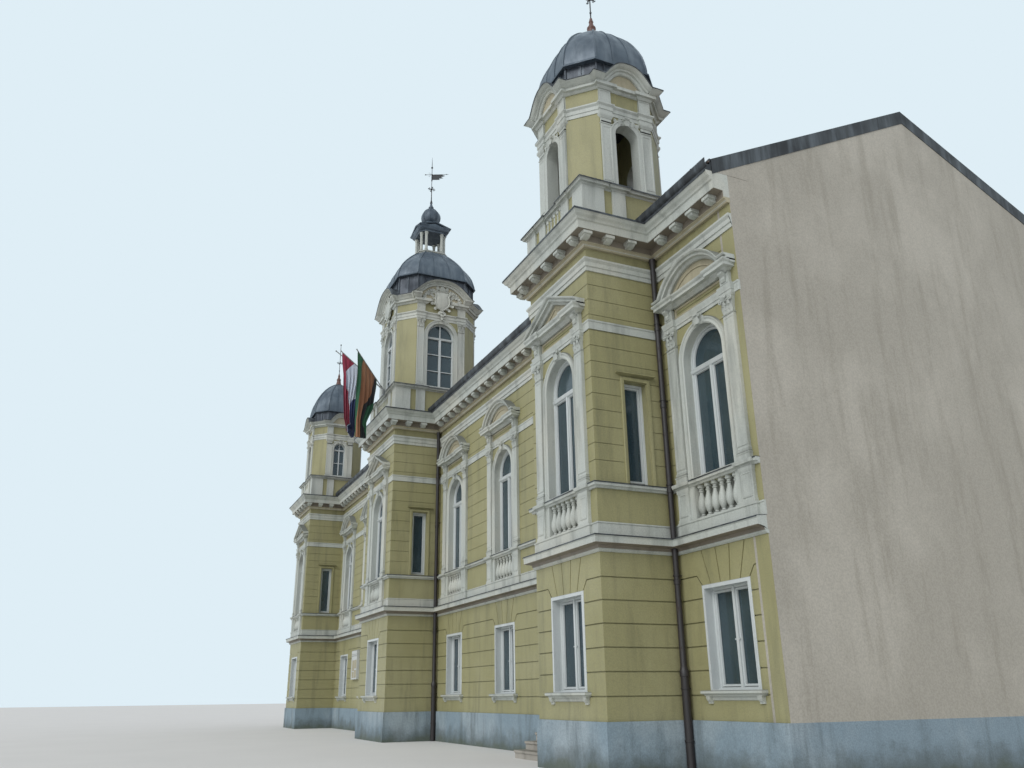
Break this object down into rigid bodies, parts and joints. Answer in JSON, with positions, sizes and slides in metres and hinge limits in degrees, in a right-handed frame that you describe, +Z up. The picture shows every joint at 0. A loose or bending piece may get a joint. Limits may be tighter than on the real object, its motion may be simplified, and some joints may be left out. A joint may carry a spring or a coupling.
{
  "type": "town hall",
  "caption": "Two-storey town hall front with domed belfry pavilions, arched and pedimented windows, banded ground storey, gabled roof and a turning weather vane.",
  "frame": {"origin": "middle of the footprint at ground level: half way between the party walls and half way between the foremost and hindmost points", "axes": "+X to the viewer's right along the street front, +Y from the street into the building, +Z up"},
  "size_m": [35.11, 14.2626, 22.3],
  "materials": {
    "yellow_plaster": "matt painted plaster, stained",
    "pale_trim": "matt painted stucco, weathered",
    "plinth_stone": "rough stained plaster",
    "floor_boards": "worn boards",
    "party_plaster": "plain rough plaster",
    "window_paint": "white gloss paint",
    "glass": "clear",
    "dome_metal": "weathered sheet metal",
    "roof_tiles": "weathered tiles",
    "gutter_metal": "dark painted sheet",
    "pipe_metal": "dark painted",
    "iron": "black painted",
    "pole_metal": "dull",
    "flag_cloth_a": "striped cloth",
    "flag_cloth_b": "striped cloth",
    "door_wood": "dark varnish",
    "step_stone": "worn stone",
    "board_paint": "white painted"
  },
  "bodies": {
    "building": {"plinth": "plinth_stone", "ground_floor": "floor_boards", "upper_floor": "floor_boards", "attic_floor": "floor_boards", "right_end_wall": "yellow_plaster", "right_wing_wall": "yellow_plaster", "left_wing_wall": "yellow_plaster", "left_end_wall": "yellow_plaster", "right_pavilion": "yellow_plaster", "centre_pavilion": "yellow_plaster", "left_pavilion": "yellow_plaster", "back_wall": "yellow_plaster", "party_walls": "party_plaster", "belt_course": "pale_trim", "sill_course": "pale_trim", "balustrades": "pale_trim", "pilasters": "pale_trim", "window_surrounds": "pale_trim", "pediments": "pale_trim", "ground_window_sills": "pale_trim", "ground_window_frames": "window_paint", "upper_window_frames": "window_paint", "tower_window_frames": "window_paint", "ground_window_glass": "glass", "upper_window_glass": "glass", "tower_window_glass": "glass", "architrave": "pale_trim", "modillions": "pale_trim", "main_cornice": "pale_trim", "main_roof": "roof_tiles", "gutters": "gutter_metal", "rainwater_pipes": "pipe_metal", "parapets": "pale_trim", "right_tower": "yellow_plaster", "centre_tower": "yellow_plaster", "left_tower": "yellow_plaster", "right_dome": "dome_metal", "centre_dome": "dome_metal", "left_dome": "dome_metal", "lantern": "pale_trim", "lantern_roof": "dome_metal", "side_finials": "iron", "centre_spire": "iron", "flagpoles": "pole_metal", "left_flag": "flag_cloth_a", "right_flag": "flag_cloth_b", "entrance_door": "door_wood", "entrance_steps": "step_stone", "notice_board": "board_paint"},
    "vane": {"weather_vane": "iron"}
  },
  "joints": [
    {"name": "vane_turn", "type": "hinge", "parent": "building", "child": "vane", "pos_m": [0, -3.6986, 21.2], "axis": [0, 0, 1], "continuous": true}
  ]
}
